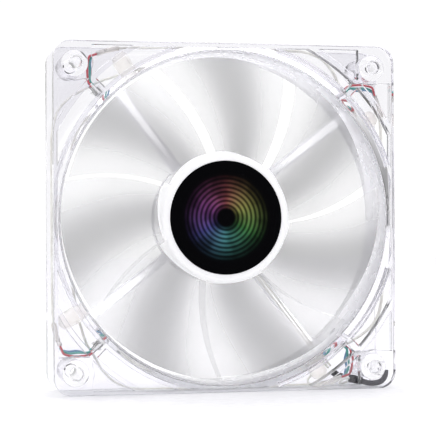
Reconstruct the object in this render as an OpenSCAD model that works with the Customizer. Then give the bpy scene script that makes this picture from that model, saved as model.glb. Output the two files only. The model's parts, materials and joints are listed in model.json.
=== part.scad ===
// Case fan: clear frame, swept impeller, outer-rotor motor and four corner LEDs.
// Millimetres. The fan's axis lies along Y: the rear face is at y = 0, the front faces -Y, +Z is up.

/* [Frame] */
// Width and height of the square frame
frame_w = 120; // [119.5:0.1:120.5]
// Depth of the frame, rear face to front face
frame_d = 25; // [25:0.5:26]
// Radius of the frame's four outer corners
corner_r = 6; // [4:0.5:7]
// Thickness of each flange
flange_t = 4; // [3.5:0.5:4.5]
// Distance between the screw holes
hole_pitch = 105; // [104.5:0.1:105.5]
// Diameter of the screw holes
hole_d = 4.4; // [4.2:0.1:4.8]
// Diameter of the screw pillars
pillar_d = 9; // [8:0.5:9]
// Bore of the round duct
duct_d = 114.5; // [114:0.1:115]
// Thickness of the duct's wall
duct_wall = 1.5; // [1.2:0.1:1.5]
// Width of the solid rim round the front flange's recesses
rim_w = 1.4; // [1.2:0.1:1.6]

/* [Struts and motor base] */
// Angle of the first strut, seen from the front
strut_at = 37.5; // [37:0.5:38]
// Width of a strut
strut_w = 3.4; // [3.2:0.1:4]
// Depth of a strut
strut_d = 4; // [3.5:0.5:4]
// Diameter of the motor base
base_d = 45; // [44:0.5:46]
// Thickness of the motor base
base_t = 2.2; // [2:0.1:2.4]

/* [Impeller] */
// Number of blades
blades = 7; // [5:1:7]
// Diameter over the blade tips
blade_d = 112.4; // [108:0.1:112.6]
// Diameter of the hub
hub_d = 44.8; // [44.4:0.1:45]
// Height of the hub's front face above the rear face
hub_front_z = 21.6; // [21.4:0.1:22]
// Angle from the hub to the tip by which a blade sweeps forward
sweep = 16.3; // [0:0.1:20]
// Angle of the first blade's middle at the hub, seen from the front
blade_at = 21.4; // [0:0.1:50]
// Angle that a blade covers at the hub
hub_span = 50.4; // [40:0.1:50.6]
// Angle that a blade covers at the tip
tip_span = 50.4; // [40:0.1:50.6]
// Thickness of a blade at mid chord
blade_t = 1.5; // [1.2:0.1:2]
// Height of a blade's camber
camber = 1.3; // [0.5:0.1:1.5]
// Diameter of the label on the hub
label_d = 39.4; // [38:0.1:39.6]

/* [Motor] */
// Diameter of the shaft
shaft_d = 3; // [3:0.01:3.02]
// Radial clearance of the shaft in its bearing
running_gap = 0.03; // [0.02:0.01:0.05]
// Outer diameter of the bearing tube
tube_d = 9.2; // [9:0.1:9.4]
// Radius of the stator's poles
pole_r = 17.6; // [17:0.1:17.6]
// Width of a stator tooth
tooth_w = 4.4; // [4:0.1:4.6]
// Thickness of the winding on each side of a tooth
winding_t = 1.7; // [1.2:0.1:1.7]

/* [Lights and wires] */
// Angle of the first glue dab, seen from the front
glue_at = 32.8; // [32:0.2:33]
// Height of the LEDs and the glue above the rear face
led_z = 12.5; // [12:0.1:13]
// Diameter of an LED
led_d = 3; // [2.8:0.1:3]
// Diameter of a single wire
wire_d = 0.8; // [0.8:0.1:1]
// Diameter of a pale sleeve
sleeve_d = 1.8; // [1.6:0.1:1.8]

/* [Hidden] */
$fn = 96;
PARTS = [
    "frame", "bearing_tube", "bearing_sleeve", "thrust_pad", "oil_ring", "stator_core",
    "insulator_front", "insulator_rear", "circuit_board", "driver_chip", "hall_sensor",
    "capacitor", "terminal_pins", "rear_label", "motor_leads", "supply_wires",
    "splice_sleeve_1", "splice_sleeve_2", "lead_jacket", "impeller", "hub_label",
    "rotor_yoke", "ring_magnet", "shaft", "shaft_boss", "snap_ring"
];
CORNER_PARTS = [
    "coil", "led", "glue_dab", "red_wire", "green_wire", "blue_wire", "lead_sleeve", "harness"
];

// Gap left round fixed parts that sit in one another
fit_gap = 0.02;
// How far a cutting shape runs past the face it cuts
past = 1;

half_w = frame_w / 2;
hole_at = hole_pitch / 2;
duct_r = duct_d / 2;
duct_outer_r = duct_r + duct_wall;
front_flange_z = frame_d - flange_t;

// Flared mouth, crescent slots and shallow pockets of the front flange
flare_r = 60;
flare_h = 5;
crescent_inner_r = 61.3;
crescent_outer_r = 65.4;
crescent_rib = 2.6;
pocket_inner_r = 67.2;
pocket_end = 47;
pocket_depth = 2.6;
pillar_margin = 1.5;
chamfer = 0.4;

// Channel for the motor's leads in the fourth strut
channel_w = 2.4;
channel_floor = 1.8;
channel_top = 5.6;
channel_end = 62;
lead_strut_at = strut_at + 270;

// Motor base
base_r = base_d / 2;
tube_r = tube_d / 2;
seat_z = 1.2;
seat_boss_r = 6;
seat_boss_z = 3.4;
pad_hole_r = 3;
standoff_at = 10;
standoff_r = 1;
sticker_r = 19;
sticker_t = 0.25;
sticker_recess = 0.3;

// Bearing
tube_bore_r = 3.4;
tube_top = 15.5;
pad_top = 2;
sleeve_z = 3.3;
sleeve_top = 13.8;
oil_ring_z = 13.9;
oil_ring_t = 0.5;
oil_ring_bore_r = 1.75;

// Stator, centred on stator_z
stator_z = 11;
core_half = 2.5;
core_hub_r = 7.6;
pole_inner_r = 15.6;
pole_half_angle = 34;
plate_t = 0.8;
bobbin_wall = 2;
bobbin_hub_r = 8.4;
bobbin_out = 15;
bobbin_lip = 0.8;
bobbin_half_w = 4.4;
coil_in = 8.6;
coil_out = 14.1;

// Circuit board
board_z = 3.4;
board_t = 1;
board_r = 18.5;
board_bore_r = 6.4;
board_top = board_z + board_t;

// Rotor
hub_r = hub_d / 2;
hub_rear_z = 4.8;
hub_edge_r = 1.2;
hub_bore_r = 20.95;
hub_ceiling_z = 19.65;
hub_boss_r = 5;
hub_boss_z = 16.4;
label_recess = 0.4;
label_t = 0.34;
yoke_r = 20.9;
yoke_wall = 1;
yoke_rear_z = 5.4;
yoke_front_z = 19.6;
yoke_hole_r = 5.1;
magnet_r = 19.85;
magnet_bore_r = 18.15;
magnet_z = [6.2, 16.5];
shaft_r = shaft_d / 2;
shaft_rear_z = 2.15;
insert_r = 3;
insert_z = 16.2;
groove_r = 1.1;
groove_z = 2.6;
groove_w = 0.5;
clip_t = 0.4;
clip_r = 2.4;
clip_mouth = 1.6;

// Blades: a row of stations from the root, just inside the hub's wall, to the tip
blade_r = blade_d / 2;
blade_root_r = hub_r - 0.7;
blade_rear_z = 6.5;
blade_front_z = 20.4;
blade_stations = 8;
blade_steps = 9;

// LED, along its own axis
led_at = 45;
led_tip_r = 57.6;
led_base_r = 62.9;
led_rim_t = 0.9;
led_rim_r = 1.9;
leg_r = 0.25;
leg_at = 0.7;
leg_end_r = 64.8;

// Glue dab on the duct's outer wall
glue_from_r = duct_outer_r + 0.05;
glue_to_r = 67.4;
glue_w = 6;
glue_h = 6.4;
glue_r = 3.9;

// Wire routes in the first corner. at_led() is a point [along, across, z] in the LED's own frame. The
// other corners repeat them.
wire_r = wire_d / 2;
function polar(r, a, z) = [r * cos(a), r * sin(a), z];
function at_led(along, across, z) = [
    along * cos(led_at) - across * sin(led_at),
    along * sin(led_at) + across * cos(led_at),
    z
];
function into_sleeve(z) = [polar(72.08, 38.82, z), polar(71.71, 37.87, z)];
red_route = concat(
    [at_led(64.95, 0, 13.35), at_led(66.2, 0, 13.6), polar(69, 43.2, 14), polar(71.2, 41.4, 14)],
    [polar(72.4, 39.9, 13.6)], into_sleeve(13.3)
);
green_route = concat(
    [at_led(64.95, -0.75, 12.5), at_led(66, -0.85, 12.45), polar(68.6, 42.3, 12.4)],
    [polar(70.9, 40.8, 12.3)], into_sleeve(12.3)
);
blue_route = concat(
    [at_led(64.95, 0, 11.65), at_led(66, -0.3, 11.3), polar(68.2, 42, 10.8), polar(70.4, 40.6, 10.9)],
    into_sleeve(11.3)
);
sleeve_route = [
    polar(71.6, 37.6, led_z), polar(70.9, 35.6, led_z), polar(70, 33.5, led_z), polar(69.05, 31.4, led_z)
];
// One side's run, from the sleeve's mouth down the frame's side and round to the next LED
harness_run = [
    [58.94, 35.9], [59.2, 30], [59.35, 20], [59.35, 0], [59.3, -20], [59, -30], [57, -37],
    [52.5, -41.8], [48, -44.4], [44.2, -46.6], [40.8, -48.1], [37.9, -49], [35.85, -49.72]
];
harness_drop = [0, 0, 0, 0, 0, 0, 1, 2, 3.2, 3.4, 2.9, 2.3, 1.9];
harness_z = [12, 13.05];

// Wires in the fourth corner
lead_side = 0.56;
lead_points = [
    [16, 2.86], [22, 2.86], [50, 2.86], [56.5, 3], [59.5, 4], [62.5, 5.3], [65, 6.2], [67.6, 7]
];
splice_route_1 = [[41.6, -55.2, 7.4], [43.6, -56.4, 7.8], [45.2, -57, 8.4]];
splice_route_2 = [[45.6, -57, 15.6], [47.6, -57.4, 15.9], [49.8, -58, 16]];
splice_r = [1.3, 1.6];
jacket_r = 1;
jacket_route = [
    [49.9, -58, 16], [52.5, -58.7, 16], [55.2, -58.7, 16], [57.3, -58, 16], [58.5, -56.4, 16],
    [58.8, -54.2, 16]
];
supply_routes = [
    [
        [45.4, -56.9, 16.4], [42, -57.2, 17.2], [37.5, -58.8, 17.6], [33.4, -59.3, 17.3],
        [30.9, -58.6, 16], [30.9, -57.2, 14.6], [32.1, -56.05, 13.6]
    ],
    [
        [45.4, -56.7, 14.9], [44.2, -57.1, 14.8], [43, -58.5, 13.6], [43.2, -59.1, 11.8],
        [44.8, -59.2, 10.2], [46.8, -58.8, 9.2], [47.2, -57.9, 8.6], [46.2, -57.3, 8.45],
        [45.4, -57.05, 8.4]
    ]
];

function unit(v) = v / norm(v);
function curve_point(a, b, c, d, t) = 0.5 * (
    2 * b + (c - a) * t + (2 * a - 5 * b + 4 * c - d) * t ^ 2 + (3 * b - 3 * c + d - a) * t ^ 3
);
// A smooth curve through the points p, with n steps between neighbours
function smooth(p, n) = [
    for (i = [0:len(p) - 2], j = [0:n - 1])
        curve_point(p[max(i - 1, 0)], p[i], p[i + 1], p[min(i + 2, len(p) - 1)], j / n),
    p[len(p) - 1]
];

// A round tube swept along the points p, which never run along Z
module tube(p, r, sides = 8) {
    last = len(p) - 1;
    ring_points = [
        for (i = [0:last])
            let (
                along = unit(p[min(i + 1, last)] - p[max(i - 1, 0)]),
                across = unit(cross(along, [0, 0, 1])),
                up = cross(across, along)
            )
            for (a = [0:sides - 1])
                p[i] + r * (cos(360 * a / sides) * across + sin(360 * a / sides) * up)
    ];
    wall = [
        for (i = [0:last - 1], a = [0:sides - 1])
            let (b = (a + 1) % sides, near = i * sides, far = near + sides)
            each [[near + a, far + b, near + b], [near + a, far + a, far + b]]
    ];
    caps = [
        [for (a = [0:sides - 1]) a],
        [for (a = [sides - 1:-1:0]) last * sides + a]
    ];
    polyhedron(ring_points, concat(wall, caps));
}

module laid() rotate([90, 0, 0]) children();
module corner(k) rotate(90 * (k - 1)) children();
module corners() for (k = [1:4]) corner(k) children();
module ring(z, h, outer, inner) translate([0, 0, z]) difference() {
    cylinder(h = h, r = outer);
    translate([0, 0, -past]) cylinder(h = h + 2 * past, r = inner);
}

// Frame

module rounded_square(w, r) {
    square([w, w - 2 * r], center = true);
    square([w - 2 * r, w], center = true);
    for (x = [-1, 1], y = [-1, 1]) translate([x, y] * (w / 2 - r)) circle(r);
}

module flange(z) translate([0, 0, z]) linear_extrude(flange_t) rounded_square(frame_w, corner_r);

module flare() intersection() {
    rotate_extrude() polygon([
        [0, frame_d - flare_h], [duct_r, frame_d - flare_h], [flare_r, frame_d],
        [flare_r, frame_d + past], [0, frame_d + past]
    ]);
    linear_extrude(frame_d + 2 * past) square(frame_w - 2 * rim_w, center = true);
}

module crescent() difference() {
    intersection() {
        circle(crescent_outer_r);
        square(half_w - rim_w);
    }
    circle(crescent_inner_r);
    rotate(45) translate([0, -crescent_rib / 2]) square([frame_w, crescent_rib]);
}

module pocket() difference() {
    intersection() {
        square(half_w - rim_w);
        union() {
            square([pocket_end, half_w]);
            square([half_w, pocket_end]);
        }
    }
    circle(pocket_inner_r);
    translate([hole_at, hole_at]) circle(pillar_d / 2 + pillar_margin);
}

module screw_hole() translate([hole_at, hole_at]) {
    translate([0, 0, -past]) cylinder(h = frame_d + 2 * past, d = hole_d);
    translate([0, 0, frame_d - chamfer]) cylinder(h = chamfer, d1 = hole_d, d2 = hole_d + 2 * chamfer);
    cylinder(h = chamfer, d1 = hole_d + 2 * chamfer, d2 = hole_d);
}

module strut() translate([base_r - past, -strut_w / 2, 0])
    cube([duct_r - base_r + 1.5 * past, strut_w, strut_d]);

module lead_channel() rotate(lead_strut_at) translate([seat_boss_r + past, -channel_w / 2, channel_floor])
    cube([channel_end - seat_boss_r - past, channel_w, channel_top - channel_floor]);

module motor_base() {
    difference() {
        union() {
            cylinder(h = base_t, r = base_r);
            cylinder(h = seat_boss_z, r = seat_boss_r);
            for (a = [0:120:240]) rotate(a) translate([standoff_at, 0, 0])
                cylinder(h = board_z, r = standoff_r);
        }
        translate([0, 0, seat_z]) cylinder(h = frame_d, r = tube_r + fit_gap);
        translate([0, 0, -past]) cylinder(h = frame_d, r = pad_hole_r);
        translate([0, 0, -past]) cylinder(h = past + sticker_recess, r = sticker_r + 0.2);
    }
}

module frame() laid() color("white", 0.4) difference() {
    union() {
        difference() {
            union() {
                flange(0);
                flange(front_flange_z);
                cylinder(h = frame_d, r = duct_outer_r);
                corners() translate([hole_at, hole_at]) cylinder(h = frame_d, d = pillar_d);
            }
            translate([0, 0, -past]) cylinder(h = frame_d + 2 * past, r = duct_r);
            flare();
            corners() translate([0, 0, front_flange_z - past]) linear_extrude(flange_t + 2 * past) crescent();
            corners() translate([0, 0, frame_d - pocket_depth]) linear_extrude(pocket_depth + past) pocket();
            corners() screw_hole();
            corners() led_axis(duct_r - past) cylinder(h = duct_wall + 1.8 * past, d = led_d + 0.2);
        }
        for (k = [0:3]) rotate(strut_at + 90 * k) strut();
        motor_base();
    }
    lead_channel();
}

// Motor, fixed parts

module bearing_tube() laid() color("goldenrod") ring(seat_z, tube_top - seat_z, tube_r, tube_bore_r);

module bearing_sleeve() laid() color("peru")
    ring(sleeve_z, sleeve_top - sleeve_z, tube_bore_r - fit_gap, shaft_r + running_gap);

module thrust_pad() laid() color("ivory") translate([0, 0, seat_z])
    cylinder(h = pad_top - seat_z, r = tube_bore_r - fit_gap);

module oil_ring() laid() color("white") ring(oil_ring_z, oil_ring_t, tube_bore_r - fit_gap, oil_ring_bore_r);

module pole() intersection() {
    difference() {
        circle(pole_r);
        circle(pole_inner_r);
    }
    polygon([
        [0, 0],
        2 * pole_r * [cos(pole_half_angle), -sin(pole_half_angle)],
        2 * pole_r * [cos(pole_half_angle), sin(pole_half_angle)]
    ]);
}

module stator_core() laid() color("slategray") translate([0, 0, stator_z - core_half])
    linear_extrude(2 * core_half) difference() {
        union() {
            circle(core_hub_r);
            corners() translate([0, -tooth_w / 2]) square([pole_inner_r + 0.5, tooth_w]);
            corners() pole();
        }
        circle(tube_r + fit_gap);
    }

module insulator() difference() {
    union() {
        cylinder(h = plate_t + bobbin_wall, r = bobbin_hub_r);
        corners() translate([0, -tooth_w / 2, 0]) cube([bobbin_out, tooth_w, plate_t]);
        corners() translate([bobbin_out - bobbin_lip, -bobbin_half_w, 0])
            cube([bobbin_lip, 2 * bobbin_half_w, plate_t + bobbin_wall]);
    }
    translate([0, 0, -past]) cylinder(h = frame_d, r = tube_r + fit_gap);
    translate([0, 0, plate_t]) cylinder(h = frame_d, r = core_hub_r);
}

module insulator_front() laid() color("whitesmoke") translate([0, 0, stator_z + core_half]) insulator();

module insulator_rear() laid() color("whitesmoke") translate([0, 0, stator_z - core_half])
    mirror([0, 0, 1]) insulator();

module coil(k) laid() color("chocolate") corner(k) translate([coil_in, 0, stator_z]) {
    window_w = tooth_w + 2 * fit_gap;
    window_h = 2 * (core_half + plate_t + fit_gap);
    depth = coil_out - coil_in;
    translate([depth / 2, 0, 0]) difference() {
        cube([depth, window_w + 2 * winding_t, window_h + 2 * winding_t], center = true);
        cube([depth + 2 * past, window_w, window_h], center = true);
    }
}

module circuit_board() laid() color("darkgreen") ring(board_z, board_t, board_r, board_bore_r);

module on_board(r, a, size) rotate(a) translate([r - size[0] / 2, -size[1] / 2, board_top]) cube(size);

module driver_chip() laid() color("black") on_board(13.5, 45, [4, 5, 1]);

module hall_sensor() laid() color("black") on_board(17, 22, [1.6, 3, 0.9]);

module capacitor() laid() color("tan") on_board(13.5, 135, [1.6, 3.2, 1.2]);

module terminal_pins() laid() color("silver") corners() rotate(45)
    translate([(core_hub_r + bobbin_hub_r) / 2, 0, board_top])
    cylinder(h = stator_z - core_half - plate_t - bobbin_wall - board_top, r = 0.35);

module rear_label() laid() color("silver") translate([0, 0, sticker_recess - sticker_t])
    cylinder(h = sticker_t, r = sticker_r);

// Lights

module led_axis(r, a = led_at) rotate(a) translate([r, 0, led_z]) rotate([0, 90, 0]) children();

module led(k) laid() color("lightyellow") corner(k) led_axis(led_tip_r) {
    dome_r = led_d / 2;
    length = led_base_r - led_tip_r;
    translate([0, 0, dome_r]) sphere(dome_r);
    translate([0, 0, dome_r]) cylinder(h = length - dome_r, r = dome_r);
    translate([0, 0, length - led_rim_t]) cylinder(h = led_rim_t, r = led_rim_r);
    for (a = [0:90:270]) rotate(a) translate([leg_at, 0, length])
        cylinder(h = leg_end_r - led_base_r, r = leg_r);
}

module glue_dab(k) laid() color("bisque") corner(k) led_axis(glue_from_r, glue_at) {
    depth = glue_to_r - glue_from_r;
    intersection() {
        cylinder(h = depth, r = glue_r);
        translate([-glue_h / 2, -glue_w / 2, 0]) cube([glue_h, glue_w, depth]);
    }
}

// Wires

module red_wire(k) laid() color("firebrick") corner(k) tube(smooth(red_route, 3), wire_r);

module green_wire(k) laid() color("teal") corner(k) tube(smooth(green_route, 3), wire_r);

module blue_wire(k) laid() color("steelblue") corner(k) tube(smooth(blue_route, 3), wire_r);

module lead_sleeve(k) laid() color("antiquewhite", 0.7) corner(k)
    tube(smooth(sleeve_route, 2), sleeve_d / 2, 12);

module harness(k) laid() color("cornsilk") corner(k) for (z = harness_z)
    tube(smooth([for (i = [0:len(harness_run) - 1]) [each harness_run[i], z - harness_drop[i]]], 3), wire_r);

module motor_leads() laid() color("cornsilk") rotate(lead_strut_at) for (y = [-1, 1] * lead_side)
    tube(smooth([for (p = lead_points) [p[0], y, p[1]]], 3), wire_r);

module splice_sleeve_1() laid() color("black") tube(smooth(splice_route_1, 3), splice_r[0], 12);

module splice_sleeve_2() laid() color("black") tube(smooth(splice_route_2, 3), splice_r[1], 12);

module lead_jacket() laid() color("dimgray") tube(smooth(jacket_route, 4), jacket_r, 12);

module supply_wires() laid() color("cornsilk") for (route = supply_routes) tube(smooth(route, 3), wire_r);

// Rotor

function share(r) = (r - hub_r) / (blade_r - hub_r);
function span(r) = hub_span + (tip_span - hub_span) * share(r);
// The camber line at radius r, unrolled flat: s runs from 0 at the trailing edge to 1 at the leading edge
function camber_point(r, s) = [
    (sweep * share(r) + span(r) * (s - 0.5)) * r * PI / 180,
    blade_rear_z + (blade_front_z - blade_rear_z) * s + camber * 4 * s * (1 - s)
];
function camber_normal(r, s) =
    let (d = camber_point(r, s + 0.01) - camber_point(r, s - 0.01))
    [-d[1], d[0]] / norm(d);
function half_thickness(s) = blade_t / 2 * (0.5 + 2 * s * (1 - s));
function skin_point(r, s, side) =
    let (
        p = camber_point(r, s) + side * half_thickness(s) * camber_normal(r, s),
        a = p[0] / r * 180 / PI
    )
    [r * cos(a), r * sin(a), p[1]];

module blade() {
    loop = 2 * (blade_steps + 1);
    points = [
        for (i = [0:blade_stations])
            let (r = blade_root_r + (blade_r - blade_root_r) * i / blade_stations)
            each concat(
                [for (j = [0:blade_steps]) skin_point(r, j / blade_steps, 1)],
                [for (j = [blade_steps:-1:0]) skin_point(r, j / blade_steps, -1)]
            )
    ];
    skin = [
        for (i = [0:blade_stations - 1], j = [0:loop - 1])
            let (k = (j + 1) % loop, near = i * loop, far = near + loop)
            each [[near + j, near + k, far + k], [near + j, far + k, far + j]]
    ];
    root = [
        for (j = [0:blade_steps - 1])
            let (k = loop - 1 - j)
            each [[j, k, j + 1], [k, k - 1, j + 1]]
    ];
    tip_at = blade_stations * loop;
    tip = [for (f = root) [tip_at + f[0], tip_at + f[2], tip_at + f[1]]];
    polyhedron(points, concat(skin, root, tip));
}

module hub_outline() {
    translate([0, hub_rear_z]) square([hub_r, hub_front_z - hub_rear_z - hub_edge_r]);
    translate([0, hub_rear_z]) square([hub_r - hub_edge_r, hub_front_z - hub_rear_z]);
    translate([hub_r, hub_front_z] - [1, 1] * hub_edge_r) circle(hub_edge_r);
}

module impeller() laid() color("white", 0.9) difference() {
    union() {
        rotate_extrude() hub_outline();
        for (k = [0:blades - 1]) rotate(blade_at + 360 / blades * k) blade();
    }
    difference() {
        cylinder(h = hub_ceiling_z, r = hub_bore_r);
        translate([0, 0, hub_boss_z]) cylinder(h = frame_d, r = hub_boss_r);
    }
    cylinder(h = hub_ceiling_z, r = insert_r + fit_gap);
    translate([0, 0, hub_front_z - label_recess]) cylinder(h = past, r = label_d / 2 + 0.1);
}

module hub_label() laid() color("black") translate([0, 0, hub_front_z - label_recess])
    cylinder(h = label_t, d = label_d);

module rotor_yoke() laid() color("gray") difference() {
    translate([0, 0, yoke_rear_z]) cylinder(h = yoke_front_z - yoke_rear_z, r = yoke_r);
    cylinder(h = yoke_front_z - yoke_wall, r = yoke_r - yoke_wall);
    cylinder(h = frame_d, r = yoke_hole_r);
}

module ring_magnet() laid() color("dimgray")
    ring(magnet_z[0], magnet_z[1] - magnet_z[0], magnet_r, magnet_bore_r);

module shaft() laid() color("lightsteelblue") difference() {
    translate([0, 0, shaft_rear_z]) cylinder(h = yoke_front_z - shaft_rear_z, r = shaft_r);
    ring(groove_z, groove_w, shaft_r + past, groove_r);
}

module shaft_boss() laid() color("gold")
    ring(insert_z, yoke_front_z - insert_z, insert_r, shaft_r + fit_gap / 2);

module snap_ring() laid() color("darkgray") difference() {
    ring(groove_z + (groove_w - clip_t) / 2, clip_t, clip_r, groove_r + fit_gap);
    translate([0, -clip_mouth / 2, 0]) cube([clip_r + past, clip_mouth, frame_d]);
}

frame();
bearing_tube();
bearing_sleeve();
thrust_pad();
oil_ring();
stator_core();
insulator_front();
insulator_rear();
circuit_board();
driver_chip();
hall_sensor();
capacitor();
terminal_pins();
rear_label();
motor_leads();
supply_wires();
splice_sleeve_1();
splice_sleeve_2();
lead_jacket();
impeller();
hub_label();
rotor_yoke();
ring_magnet();
shaft();
shaft_boss();
snap_ring();
for (k = [1:4]) {
    coil(k);
    led(k);
    glue_dab(k);
    red_wire(k);
    green_wire(k);
    blue_wire(k);
    lead_sleeve(k);
    harness(k);
}
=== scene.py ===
"""The looks of a clear 120 mm case fan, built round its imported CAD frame.

Everything ends up in metres in the row frame: the rotor's axis lies along Y, the front faces -Y and +Z
is up. Shapes are written in millimetres in the fan's own plan, as [x, y, height above the rear face],
and at() lays them in the row frame.
"""
import json
import math

import bmesh
import bpy
from mathutils import Matrix, Vector, noise


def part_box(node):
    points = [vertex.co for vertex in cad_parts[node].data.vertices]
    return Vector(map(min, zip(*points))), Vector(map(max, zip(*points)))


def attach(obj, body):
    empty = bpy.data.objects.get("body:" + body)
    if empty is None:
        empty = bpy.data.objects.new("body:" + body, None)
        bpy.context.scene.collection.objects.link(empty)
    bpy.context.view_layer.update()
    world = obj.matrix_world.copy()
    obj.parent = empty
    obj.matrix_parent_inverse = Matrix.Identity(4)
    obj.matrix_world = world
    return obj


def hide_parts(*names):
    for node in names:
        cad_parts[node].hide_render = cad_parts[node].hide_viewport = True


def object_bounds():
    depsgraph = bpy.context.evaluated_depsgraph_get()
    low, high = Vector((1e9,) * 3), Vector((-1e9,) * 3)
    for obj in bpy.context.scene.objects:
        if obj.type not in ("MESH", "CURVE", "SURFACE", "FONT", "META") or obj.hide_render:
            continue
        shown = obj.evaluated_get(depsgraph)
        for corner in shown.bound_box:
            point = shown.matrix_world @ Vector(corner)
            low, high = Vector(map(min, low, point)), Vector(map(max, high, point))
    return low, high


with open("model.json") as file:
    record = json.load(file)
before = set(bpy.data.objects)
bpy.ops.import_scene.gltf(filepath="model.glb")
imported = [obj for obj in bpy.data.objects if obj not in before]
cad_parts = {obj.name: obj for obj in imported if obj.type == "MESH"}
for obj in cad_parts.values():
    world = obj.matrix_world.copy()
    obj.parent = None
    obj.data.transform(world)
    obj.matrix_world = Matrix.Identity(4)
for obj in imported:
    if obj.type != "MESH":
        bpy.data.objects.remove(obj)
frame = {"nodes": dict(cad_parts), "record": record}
cad_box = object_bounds()
NODES = frame["nodes"]
MM = 0.001
CORNERS = (1, 2, 3, 4)

# Sizes that several pieces share, in millimetres
HUB_FRONT = -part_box("impeller")[0].y / MM
HUB_REAR = -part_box("impeller")[1].y / MM
BLADES = 7
BLADE_R = 56.2
HUB_R = 22.4
LABEL_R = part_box("hub_label")[1].x / MM
LED_AT = 45.0
LED_Z = 12.5
WIRE_R = 0.4

# How far the blades sweep round from root to tip, in degrees
SWEEP = 16.3

# Points closer than this, in metres, are the same point
SLIVER = 1e-6

# The corners of a square, in order
SQUARE = ((-1, -1), (1, -1), (1, 1), (-1, 1))


def at(p):
    """A point of the plan, in millimetres, as a point of the row frame, in metres."""
    return Vector((p[0], -p[2], p[1])) * MM


def polar(r, degrees, z):
    a = math.radians(degrees)
    return (r * math.cos(a), r * math.sin(a), z)


def turned(p, degrees):
    """A plan point turned about the fan's axis."""
    a = math.radians(degrees)
    c, s = math.cos(a), math.sin(a)
    return (p[0] * c - p[1] * s, p[0] * s + p[1] * c, p[2])


# ---------------------------------------------------------------- shader building blocks


def principled(name, **sockets):
    """A new material with one Principled shader, its plain values set on the shader's own sockets."""
    mat = bpy.data.materials.new(name)
    mat.use_nodes = True
    shader = mat.node_tree.nodes["Principled BSDF"]
    for socket, value in sockets.items():
        shader.inputs[socket.replace("_", " ")].default_value = value
    return mat, mat.node_tree, shader


def add(tree, kind, **settings):
    node = tree.nodes.new(kind)
    for key, value in settings.items():
        if key in node.inputs:
            node.inputs[key].default_value = value
        else:
            setattr(node, key, value)
    return node


def feed(tree, value, socket):
    """Links value into a socket, or sets it there where it is a plain number or colour."""
    if isinstance(value, (int, float)):
        socket.default_value = value
    elif isinstance(value, (tuple, list)):
        socket.default_value = (*value, 1.0) if len(value) == 3 else value
    else:
        tree.links.new(value, socket)


def compute(tree, operation, a, b=0.0):
    node = add(tree, "ShaderNodeMath", operation=operation)
    feed(tree, a, node.inputs[0])
    feed(tree, b, node.inputs[1])
    return node.outputs[0]


def mixed(tree, fac, first, second):
    node = add(tree, "ShaderNodeMix", data_type="RGBA")
    feed(tree, fac, node.inputs["Factor"])
    feed(tree, first, node.inputs[6])
    feed(tree, second, node.inputs[7])
    return node.outputs[2]


def remap(tree, value, from_low, from_high, low, high, smooth=True):
    node = add(tree, "ShaderNodeMapRange")
    node.interpolation_type = "SMOOTHSTEP" if smooth else "LINEAR"
    for index, number in enumerate((from_low, from_high, low, high), start=1):
        node.inputs[index].default_value = number
    tree.links.new(value, node.inputs["Value"])
    return node.outputs["Result"]


def place(tree):
    return add(tree, "ShaderNodeTexCoord").outputs["Object"]


def grain(tree, scale, detail=3.0, stretch=None):
    """Noise over the object's own space, with stretch as its scale along X, Y and Z."""
    node = add(tree, "ShaderNodeTexNoise", Scale=scale, Detail=detail, Roughness=0.5)
    source = place(tree)
    if stretch:
        mapping = add(tree, "ShaderNodeMapping", Scale=stretch)
        tree.links.new(source, mapping.inputs["Vector"])
        source = mapping.outputs[0]
    tree.links.new(source, node.inputs["Vector"])
    return node.outputs["Fac"]


def plan_polar(tree):
    """Radius in millimetres and angle in degrees about the fan's axis, and height above the rear face."""
    split = add(tree, "ShaderNodeSeparateXYZ")
    tree.links.new(place(tree), split.inputs[0])
    x, y, z = split.outputs
    squares = compute(tree, "ADD", compute(tree, "MULTIPLY", x, x), compute(tree, "MULTIPLY", z, z))
    radius = compute(tree, "DIVIDE", compute(tree, "SQRT", squares), MM)
    angle = compute(tree, "MULTIPLY", compute(tree, "ARCTAN2", z, x), 180 / math.pi)
    return radius, angle, compute(tree, "DIVIDE", y, -MM)


def relief(tree, shader, height, depth):
    node = add(tree, "ShaderNodeBump", Strength=1.0, Distance=depth)
    tree.links.new(height, node.inputs["Height"])
    tree.links.new(node.outputs["Normal"], shader.inputs["Normal"])


def lets_lamps_through(mat, tint):
    """Clear plastic that casts a pale shadow: a lamp shines through it as through a thin clear wall."""
    tree = mat.node_tree
    surface = tree.nodes["Material Output"].inputs["Surface"]
    glass = surface.links[0].from_socket
    path = add(tree, "ShaderNodeLightPath")
    clear = add(tree, "ShaderNodeBsdfTransparent", Color=(*tint, 1.0))
    mix = add(tree, "ShaderNodeMixShader")
    tree.links.new(path.outputs["Is Shadow Ray"], mix.inputs[0])
    tree.links.new(glass, mix.inputs[1])
    tree.links.new(clear.outputs[0], mix.inputs[2])
    tree.links.new(mix.outputs[0], surface)


# ---------------------------------------------------------------- materials

STRUT_TOP = 4.3
STRUT_AT = 37.5
# Painted glow on the struts: its strength, the band's half width at hub and duct, its soft edge, and the
# radius where it is full
STRUT_PAINTED_GLOW = 0.75
PAINTED_GLOW_HALF = (0.8, 1.6)
PAINTED_GLOW_EDGE = (0.7, 1.15)
PAINTED_GLOW_FULL_R = 42.0
DUCT_R = 57.2
SATIN_R = 57.9
SATIN_ROUGH = 0.25
SATIN_TRANSMISSION = 0.45


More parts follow.
